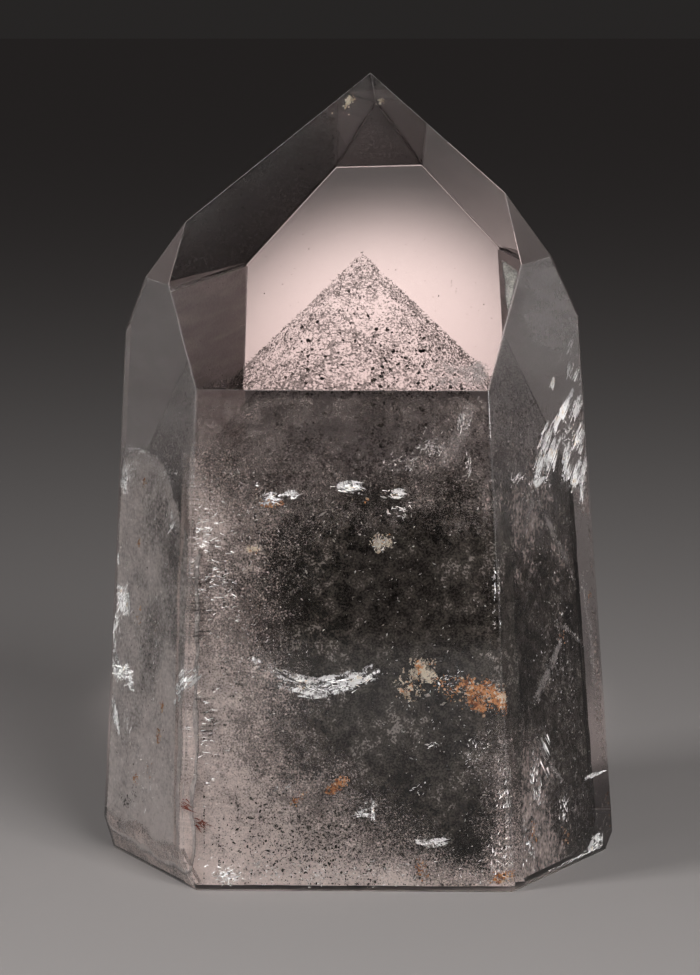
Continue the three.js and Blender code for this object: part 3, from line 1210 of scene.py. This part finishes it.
# Bright strokes, the ridges of feathers and crumpled films, in patches: along, high, deep, half width and
# half height of the patch, the strokes' heading up from level and how much it varies, in degrees, length,
# count.
FRONT_STROKES = (
    (-11.4, 53.1, 0.9, 1.3, 0.5, 10, 35, 0.8, 34),
    (-8.4, 53.7, 0.9, 1.2, 0.4, 8, 30, 0.9, 26),
    (-0.6, 54.7, 0.9, 1.5, 0.5, -5, 25, 1.1, 40),
    (5.9, 53.9, 0.9, 1.3, 0.5, -10, 35, 0.8, 26),
    (6.6, 51.6, 0.9, 1.6, 1.0, 0, 60, 0.7, 20),
    (-11.0, 29.6, 2.0, 1.6, 0.15, -26, 8, 1.3, 9),
    (-7.4, 28.3, 2.0, 2.2, 0.15, -12, 8, 1.4, 11),
    (-2.0, 28.4, 2.0, 2.4, 0.15, 8, 9, 1.4, 11),
    (-6.6, 27.2, 2.0, 2.6, 0.5, -8, 30, 0.9, 26),
    (-2.4, 27.6, 2.0, 2.6, 0.5, 10, 34, 0.9, 24),
    (1.4, 28.8, 2.2, 1.2, 0.5, 20, 30, 0.8, 18),
    (2.6, 11.0, 2.2, 0.2, 1.0, 86, 10, 1.4, 12),
    (0.8, 10.1, 2.2, 1.3, 0.3, 5, 20, 0.9, 16),
    (10.6, 6.5, 2.2, 1.8, 0.3, 4, 18, 1.5, 22),
    (-22.9, 29.0, 1.2, 1.2, 0.8, 40, 16, 1.9, 26),
    (-20.4, 49.0, 1.0, 2.2, 4.4, 4, 30, 0.8, 64),
    (-18.6, 41.0, 1.2, 3.4, 4.6, 8, 34, 0.7, 74),
    (-20.4, 21.0, 1.0, 2.2, 7.0, 4, 26, 0.7, 54),
    (-16.0, 52.0, 2.0, 5.0, 6.0, 20, 60, 0.35, 70),
    (-15.0, 32.0, 2.0, 6.0, 8.0, 20, 60, 0.35, 90),
    (-4.0, 2.4, 1.2, 18.0, 2.2, 20, 60, 0.5, 170),
    (14.6, 63.8, 2.8, 1.0, 1.0, 80, 30, 0.8, 34),
    (15.4, 57.4, 3.0, 0.7, 1.6, 85, 20, 0.8, 20),
    (10.6, 59.8, 3.2, 2.2, 1.6, 50, 50, 0.6, 60),
    (6.4, 58.0, 3.2, 1.8, 1.4, 40, 50, 0.5, 30),
    (19.0, 40.5, 1.4, 0.1, 5.4, 90, 12, 0.4, 18),
    (-17.4, 1.9, 0.9, 1.7, 0.9, 20, 50, 0.9, 40),
    (10.8, 19.8, 2.4, 0.8, 0.3, 10, 40, 0.7, 6),
    (8.6, 13.6, 2.6, 1.2, 1.4, 55, 50, 0.4, 12),
    (15.8, 18.4, 2.6, 2.2, 1.8, 50, 60, 0.4, 24),
    (18.0, 26.2, 2.4, 3.4, 1.6, 30, 60, 0.4, 60),
    (12.0, 28.6, 2.4, 3.4, 1.4, 30, 60, 0.4, 44),
    (3.6, 47.2, 0.9, 1.4, 0.9, 40, 50, 0.5, 24),
    (20.6, 14.0, 1.4, 1.6, 5.0, 70, 30, 0.7, 50),
    (20.0, 5.0, 1.2, 2.2, 3.4, 70, 40, 0.6, 40),
    (-9.6, 13.6, 2.8, 2.0, 1.0, 35, 15, 1.6, 14),
)
RIGHT_STROKES = (
    (9.8, 63.5, 1.4, 1.2, 0.6, 38, 6, 3.6, 32),
    (7.4, 61.8, 1.6, 0.75, 0.5, 38, 8, 2.6, 18),
    (14.0, 63.0, 1.5, 1.1, 0.8, 40, 8, 3.0, 35),
    (3.4, 59.2, 1.6, 0.9, 1.5, 44, 8, 3.0, 35),
    (5.2, 57.6, 1.8, 1, 1.6, 46, 8, 2.8, 45),
    (1.0, 56.2, 2.0, 0.75, 1.1, 45, 12, 2.2, 24),
    (14.4, 58.8, 1.5, 1.4, 1.3, 42, 9, 2.8, 37),
    (17.0, 60.6, 1.6, 0.68, 1.4, 55, 9, 2.4, 21),
    (9.6, 56.0, 1.7, 0.75, 1.7, 56, 9, 2.6, 32),
    (12.4, 53.6, 1.6, 0.9, 1.3, 50, 9, 2.2, 29),
    (15.4, 54.2, 1.8, 0.9, 1.6, 54, 12, 2.0, 24),
    (13.9, 50.8, 1.8, 0.3, 1.2, 78, 12, 1.4, 10),
    (-6.2, 55.0, 2.0, 1.6, 0.6, 35, 40, 0.7, 30),
    (0.8, 53.8, 2.2, 2.4, 0.8, 35, 50, 0.7, 46),
    (10.0, 59.6, 1.8, 2.4, 1.8, 40, 60, 0.5, 60),
    (12.7, 71.8, 1.0, 0.9, 1.2, 42, 6, 1.6, 10),
    (11.6, 68.8, 1.0, 0.8, 0.9, 44, 8, 1.3, 12),
    (14.0, 67.6, 1.0, 1.2, 0.7, 44, 8, 1.2, 12),
    (16.4, 67.0, 1.0, 1.0, 1.4, 50, 20, 0.6, 12),
    (6.2, 67.2, 1.2, 0.3, 0.4, 55, 6, 1.4, 8),
    (9.0, 70.4, 1.2, 1.2, 0.8, 45, 20, 0.4, 8),
    (18.4, 14.0, 1.6, 0.7, 3.2, 85, 14, 1.6, 12),
    (14.6, 10.9, 0.8, 3.2, 0.12, 2, 5, 2.4, 22),
    (18.6, 9.6, 0.7, 0.8, 0.4, -20, 30, 0.8, 16),
    (12.4, 1.8, 0.6, 1.5, 0.7, 25, 40, 1.2, 34),
    (10.0, 0.9, 0.6, 1.6, 0.3, 15, 40, 1.0, 22),
    (6.0, 0.5, 0.6, 9.0, 0.12, 4, 12, 1.0, 60),
    (-6.0, 12.4, 2.0, 2.0, 3.4, 75, 30, 0.6, 60),
    (-2.0, 17.0, 2.2, 0.9, 2.2, -52, 9, 1.8, 16),
    (2.4, 8.0, 2.0, 1.2, 1.4, 60, 40, 0.54, 34),
    (-9.0, 5.0, 2.0, 3.0, 3.0, 80, 30, 0.54, 40),
    (4.0, 30.0, 2.6, 7.0, 10.0, 50, 40, 0.3, 70),
)
LEFT_STROKES = (
    (-11.2, 53.2, 1.0, 1.8, 1.8, 75, 35, 1.0, 40),
    (-7.0, 57.6, 1.2, 5.0, 0.4, 25, 50, 0.5, 44),
    (-8.6, 55.4, 1.2, 3.4, 1.2, 60, 50, 0.5, 44),
    (4.0, 55.6, 1.4, 4.0, 0.8, 25, 45, 0.5, 20),
    (-4.7, 45.2, 1.6, 0.7, 1.0, 75, 40, 0.8, 16),
    (6.6, 48.8, 1.1, 0.25, 0.3, 44, 5, 3.0, 5),
    (-9.6, 36.4, 1.0, 2.2, 1.7, 60, 40, 1.5, 80),
    (-11.8, 32.6, 1.0, 0.9, 1.8, 75, 30, 1.2, 34),
    (-8.6, 26.2, 1.0, 3.4, 1.2, 15, 40, 1.3, 90),
    (13.2, 28.8, 1.1, 1.5, 1.1, 40, 9, 2.0, 36),
    (2.3, 30.0, 1.8, 0.4, 5.4, 88, 22, 0.6, 50),
    (-10.1, 19.8, 1.1, 0.4, 1.2, 100, 12, 1.4, 18),
    (-6.4, 19.0, 1.4, 1.6, 0.8, 60, 25, 1.2, 12),
    (-2.0, 42.0, 1.8, 8.0, 9.0, 60, 45, 0.5, 130),
    (0.0, 18.0, 1.8, 8.0, 8.0, 60, 45, 0.5, 70),
)
TIP_STROKES = (
    (-15.2, 75.9, 0.5, 0.3, 0.2, 40, 30, 0.8, 3),
    (0.0, 78.0, 0.5, 14.0, 12.0, 20, 60, 0.16, 60),
)
RED_THREADS = (
    (-23.0, 11.2, 1.0, 1.0, 0.7, -28, 30, 1.3, 22),
    (-20.6, 9.0, 1.0, 1.2, 0.6, -30, 30, 1.2, 18),
)

# The bright strokes behind each face: patches, tilt and thickness.
BRIGHT_STROKES = (
    (FRONT, FRONT_STROKES, FRONT_TILT, 0.072),
    (RIGHT, RIGHT_STROKES, RIGHT_TILT, 0.11),
    (LEFT, LEFT_STROKES, LEFT_TILT, 0.09),
    (TIP, TIP_STROKES, NO_TILT, 0.05),
)


def strokes_behind(face, patches, tilt, thickness, rng):
    """Thin tapering shards under a face, in patches, tilted so that many of them catch the light."""
    corners, faces = grain_shape(4)
    normal = np.array(face[0])
    level = np.cross((0, 0, 1), normal)
    level /= np.linalg.norm(level)
    up = np.cross(normal, level)
    looks = normal + tilt[0] * level + tilt[1] * up
    looks /= np.linalg.norm(looks)
    shapes = []
    for along, high, deep, wide, tall, heading, varies, length, count in patches:
        off = np.clip(rng.normal(size=(count, 3)), -2.6, 2.6) * 0.55
        slant = math.radians(heading)
        spot_along = along + wide * off[:, 0]
        spot_high = high + tall * off[:, 1]
        places = behind(face, spot_along * MM, spot_high * MM, (deep + 0.5 * off[:, 2]) * MM)
        turn = slant + np.radians(varies) * rng.normal(size=count) * 0.6
        roll = rng.normal(size=count) * 0.16
        way = np.cos(turn)[:, None] * level + np.sin(turn)[:, None] * up
        side = np.cross(looks, way)
        side /= np.linalg.norm(side, axis=1)[:, None]
        way = np.cross(side, looks)
        across = np.cos(roll)[:, None] * side + np.sin(roll)[:, None] * looks
        through = np.cross(way, across)
        long = length * rng.lognormal(-0.1, 0.35, count) * MM / 1.5
        slim = min(length / 2, 1.0) ** 0.3
        thin = rng.lognormal(math.log(thickness * slim), 0.35, count) * MM
        placed = (
            corners[None, :, 2:3] * (way * long[:, None])[:, None, :]
            + corners[None, :, 0:1] * (across * thin[:, None])[:, None, :]
            + corners[None, :, 1:2] * (through * thin[:, None] * 0.12)[:, None, :]
            + places[:, None, :]
        )
        linked = faces[None] + (np.arange(count) * len(corners))[:, None, None]
        shapes.append((placed.reshape(-1, 3), linked.reshape(-1, 3), np.zeros(count)))
    return shapes


def inside_only(shapes, corners_each):
    """Joins shapes whose shards all have so many corners, and drops each shard that stands out."""
    corners, faces, _ = join_shapes(shapes)
    depth = depth_inside(corners, OUTSIDE).reshape(-1, corners_each).min(axis=1)
    keep = depth[faces[:, 0] // corners_each] > STROKE_DEPTH
    used, linked = np.unique(faces[keep], return_inverse=True)
    return corners[used], linked.reshape(-1, 3)


def make_strokes(rng):
    bright = []
    for face, patches, tilt, thickness in BRIGHT_STROKES:
        bright += strokes_behind(face, patches, tilt, thickness, rng)
    corners_each = len(grain_shape(4)[0])
    strokes = new_piece("strokes", *inside_only(bright, corners_each))
    ride(strokes, bright_stroke())
    threads = strokes_behind(FRONT, RED_THREADS, NO_TILT, thickness=0.08, rng=rng)
    red = new_piece("red_threads", *inside_only(threads, corners_each))
    ride(red, red_thread())


# Sparkling flakes: along, high, deep, half width, half height, count.
FRONT_SPARKLES = (
    (14.7, 64.0, 1.0, 1.4, 1.2, 50),
    (9.4, 59.2, 1.1, 3.6, 3.0, 90),
    (15.7, 56.9, 1.2, 1.0, 1.6, 24),
    (18.8, 40.5, 1.3, 0.2, 5.4, 26),
    (10.8, 19.8, 1.0, 0.9, 0.4, 9),
    (-17.6, 1.8, 1.1, 1.4, 1.0, 50),
    (-12.0, 3.0, 1.2, 5.0, 2.0, 90),
    (-21.0, 45.0, 1.3, 1.6, 9.0, 60),
    (-20.0, 54.0, 1.0, 2.6, 4.0, 60),
    (-14.0, 47.0, 1.1, 4.0, 8.0, 110),
    (-16.0, 34.0, 1.2, 5.0, 6.0, 110),
    (4.0, 44.0, 1.3, 12.0, 14.0, 240),
    (12.0, 24.0, 1.0, 8.0, 8.0, 160),
    (17.0, 12.0, 1.1, 4.0, 8.0, 70),
    (-6.0, 51.0, 1.2, 8.0, 3.0, 70),
)
RIGHT_SPARKLES = (
    (15.0, 69.0, 1.0, 2.6, 3.0, 30),
    (-3.0, 53.0, 1.1, 3.0, 2.0, 60),
    (2.0, 58.0, 1.2, 6.0, 5.0, 70),
    (14.0, 50.0, 1.3, 4.0, 6.0, 60),
    (2.0, 38.0, 1.0, 7.0, 14.0, 110),
    (8.0, 14.0, 1.1, 8.0, 9.0, 70),
)
LEFT_SPARKLES = (
    (2.4, 30.0, 1.0, 0.8, 10.0, 90),
    (-10.0, 36.0, 1.1, 3.0, 12.0, 150),
    (-6.0, 52.0, 1.2, 7.0, 6.0, 110),
    (4.0, 46.0, 1.3, 6.0, 8.0, 80),
    (0.0, 14.0, 1.0, 9.0, 8.0, 110),
)


def strewn_along(face, lines, each_mm, rng):
    """Places strewn along the middle of dusty lines, so many for each millimetre."""
    places = []
    for line, wide, deep in lines:
        line = np.array(line)
        steps = steps_along(line)
        count = round(steps[-1] * each_mm)
        t = rng.random(count) * steps[-1]
        off = rng.normal(size=(count, 2)) * wide * 0.25
        along = np.interp(t, steps, line[:, 0]) + off[:, 0]
        high = np.interp(t, steps, line[:, 1]) + off[:, 1]
        places.append(behind(face, along * MM, high * MM, np.full(count, deep * MM)))
    return np.concatenate(places)


def make_sparkles(rng):
    places = np.concatenate([
        strewn_along(RIGHT, RIGHT_LINES, 5, rng),
        strewn(FRONT, FRONT_SPARKLES, rng),
        strewn(RIGHT, RIGHT_SPARKLES, rng),
        strewn(LEFT, LEFT_SPARKLES, rng),
    ])
    places = keep_inside(places, OUTSIDE, GRAIN_DEPTH)
    grains_at(
        "sparkles", bright_flake(), places, rng,
        sides=4, size=0.068, varies=0.5, stretch=(2.0, 0.9, 0.4),
    )


# Patches of crust: along, high, deep, half width, half height, count.
FRONT_RUST = (
    (-11.4, 52.5, 1.2, 1.4, 0.6, 60),
    (1.7, 53.2, 1.3, 0.52, 0.45, 14),
    (14.0, 27.5, 1.4, 2.7, 1.5, 200),
    (18.0, 25.8, 1.2, 2.8, 1.7, 260),
    (10.0, 29.0, 1.3, 1.8, 1.5, 120),
    (-7.9, 12.1, 1.4, 1, 0.68, 50),
    (-2.4, 14.0, 1.2, 1.1, 0.75, 60),
    (9.2, 2.6, 1.3, 0.9, 1.2, 60),
    (19.8, 1.6, 1.4, 1.4, 0.68, 60),
    (-14.0, 46.2, 1.2, 1.1, 0.45, 24),
)
FRONT_CREAM = (
    (3.6, 47.1, 1.2, 1.3, 1, 420),
    (8.8, 29.9, 1.3, 1.8, 1.3, 560),
    (7.4, 26.8, 1.4, 1.4, 0.9, 220),
    (-14.0, 46.4, 1.2, 0.9, 0.38, 20),
    (17.0, 27.5, 1.3, 3, 1.4, 120),
)
TIP_CREAM = (
    (-1.5, 106.0, 0.5, 0.7, 0.5, 160),
    (-2.7, 105.0, 0.5, 1.0, 0.8, 160),
    (2.9, 106.0, 0.5, 0.5, 0.5, 50),
)
RIGHT_RUST = (
    (0.0, 40.9, 3.0, 0.5, 0.3, 8),
    (15.3, 35.8, 2.6, 0.6, 0.9, 16),
    (6.0, 31.5, 3.0, 1.2, 0.8, 24),
    (-7.4, 6.3, 2.4, 1.4, 1.2, 90),
    (2.8, 3.8, 2.4, 0.9, 1.2, 60),
    (17.6, 6.0, 2.0, 1.2, 1.6, 70),
    (18.6, 3.0, 2.0, 0.9, 1.4, 40),
)
LEFT_RUST = (
    (-4.0, 53.5, 0.9, 0.64, 0.5, 42),
    (-4.9, 45.1, 0.9, 0.48, 0.6, 42),
    (-3.1, 34.9, 0.9, 1, 1.0, 120),
    (5.5, 23.5, 0.9, 0.72, 0.8, 72),
    (4.6, 19.3, 0.9, 0.64, 0.8, 60),
    (2.7, 14.0, 0.9, 1.3, 0.9, 90),
    (-2.8, 12.0, 0.9, 0.72, 0.8, 60),
)


# Blooms of rust, and of cream clay, on the front's cracks: line of (along, high) points, width, depth.
RUST_BLOOMS = (
    (((13.2, 28.8), (16.0, 27.8), (19.0, 26.4), (22.0, 24.2)), 3.6, 1.3),
    (((15.0, 26.2), (18.0, 24.4)), 1.8, 1.4),
    (((-13.4, 52.6), (-9.4, 52.4)), 1.4, 1.5),
    (((-9.4, 11.0), (-6.2, 13.4)), 1.4, 2.1),
    (((-4.0, 13.0), (-0.8, 15.2)), 1.9, 2.1),
    (((8.6, 4.6), (9.8, 0.6)), 1.9, 2.1),
    (((18.0, 1.2), (21.8, 2.2)), 1.5, 2.1),
)
CREAM_BLOOMS = (
    (((8.2, 31.4), (9.6, 29.6), (11.4, 28.6)), 2.4, 1.3),
    (((5.6, 28.8), (7.6, 26.6)), 2.2, 1.4),
    (((2.4, 47.1), (5.2, 47.3)), 2.4, 1.5),
    (((-15.0, 46.2), (-12.6, 46.3)), 1.2, 1.3),
    (((17.8, 27.4), (21.4, 25.6)), 1.6, 1.4),
)


def make_crusts(rng):
    for name, material, table, seed in (
        ("rust_blooms", rust_bloom("rust bloom", 0.75), RUST_BLOOMS, 900),
        ("cream_blooms", rust_bloom("cream bloom", 0.1), CREAM_BLOOMS, 950),
    ):
        blooms = ribbons(FRONT, table, seed, holes=0.2)
        make_sheets(name, material, blooms)
    rust = [strewn(FRONT, FRONT_RUST, rng), strewn(RIGHT, RIGHT_RUST, rng), strewn(LEFT, LEFT_RUST, rng)]
    cream = [strewn(FRONT, FRONT_CREAM, rng), strewn(TIP, TIP_CREAM, rng)]
    for name, patches, material in (
        ("rust_crust", rust, iron_stain()),
        ("cream_crust", cream, cream_stain()),
    ):
        places = keep_inside(np.concatenate(patches), OUTSIDE, CRUST_DEPTH)
        places = places[lumps(places, 0.8 * MM, 61) > 0.5]
        grains_at(
            name, material, places, rng,
            sides=6, size=0.1, varies=0.4, stretch=(1.2, 1.0, 0.6),
        )


# The stage.


def make_floor():
    deselect_all()
    bpy.ops.mesh.primitive_circle_add(
        vertices=96, radius=FLOOR_RADIUS, fill_type="NGON", location=(0, 0, -FLOOR_DROP)
    )
    floor = bpy.context.object
    floor.name = "floor"
    shop = Shop("pale floor")
    floor.data.materials.append(shop.finish(shop.dust(FLOOR_COLOUR, roughness=0.9)))


def make_world():
    world = bpy.data.worlds.new("studio")
    bpy.context.scene.world = world
    world.use_nodes = True
    tree = world.node_tree
    way = tree.nodes.new("ShaderNodeTexCoord")
    parts = tree.nodes.new("ShaderNodeSeparateXYZ")
    tree.links.new(way.outputs["Generated"], parts.inputs[0])
    ramp = tree.nodes.new("ShaderNodeValToRGB")
    tree.links.new(parts.outputs["Z"], ramp.inputs[0])
    low, high = ramp.color_ramp.elements
    low.position, low.color = HORIZON_UP_TO, (*HORIZON, 1.0)
    high.position, high.color = SKY_FROM, (*SKY, 1.0)
    tree.links.new(ramp.outputs["Color"], tree.nodes["Background"].inputs["Color"])


def hang(name, data, place, at):
    """Puts a light or the camera into the scene, so that it looks at a point."""
    thing = bpy.data.objects.new(name, data)
    bpy.context.scene.collection.objects.link(thing)
    thing.location = place
    thing.rotation_euler = (at - thing.location).to_track_quat("-Z", "Y").to_euler()
    return thing


def soft_light(name, place, size, power):
    data = bpy.data.lights.new(name, "AREA")
    data.shape = "RECTANGLE"
    data.size, data.size_y = size
    data.energy = power
    hang(name, data, place, MIDDLE)


def make_lights():
    glow = bpy.data.lights.new("glow", "SPOT")
    glow.energy = GLOW_POWER
    glow.color = GLOW_COLOUR
    glow.spot_size = GLOW_CONE
    glow.spot_blend = GLOW_BLEND
    glow.shadow_soft_size = GLOW_RADIUS
    lamp = hang("glow", glow, GLOW_PLACE, GLOW_AIM)
    lamp.scale = (GLOW_WIDTH, 1, 1)
    for name, place, size, power in SOFT_LIGHTS:
        soft_light(name, place, size, power)


def make_camera():
    data = bpy.data.cameras.new("camera")
    data.sensor_fit = "VERTICAL"
    data.sensor_height = FRAME_HEIGHT_MM
    data.lens = LENS_MM
    data.clip_start = 0.01
    back_off = Vector((0, -math.cos(CAMERA_RISE), math.sin(CAMERA_RISE))) * CAMERA_DISTANCE
    bpy.context.scene.camera = hang("camera", data, LOOK_AT + back_off, LOOK_AT)


def set_light_paths():
    cycles = bpy.context.scene.cycles
    cycles.max_bounces = 16
    cycles.transmission_bounces = 16
    cycles.glossy_bounces = 12
    cycles.diffuse_bounces = 3
    cycles.transparent_max_bounces = 32
    bpy.context.scene.view_settings.view_transform = "Standard"


make_camera()
make_floor()
make_world()
make_lights()
set_light_paths()
make_clear_crystal()
make_phantom_film()
make_haze()
dark_grains = chlorite("chlorite", (0.02, 0.016, 0.013), (0.035, 0.032, 0.024))
make_tip_grains(np.random.default_rng(7))
make_chlorite_cloud("chlorite_cloud_left", dark_grains, -40, 4, np.random.default_rng(8))
make_chlorite_cloud("chlorite_cloud_right", dark_grains, 4, 40, np.random.default_rng(9))
make_pale_specks(np.random.default_rng(10))
make_pepper(dark_grains, np.random.default_rng(11))
make_cracks()
make_strokes(np.random.default_rng(13))
make_crusts(np.random.default_rng(12))
make_sparkles(np.random.default_rng(14))
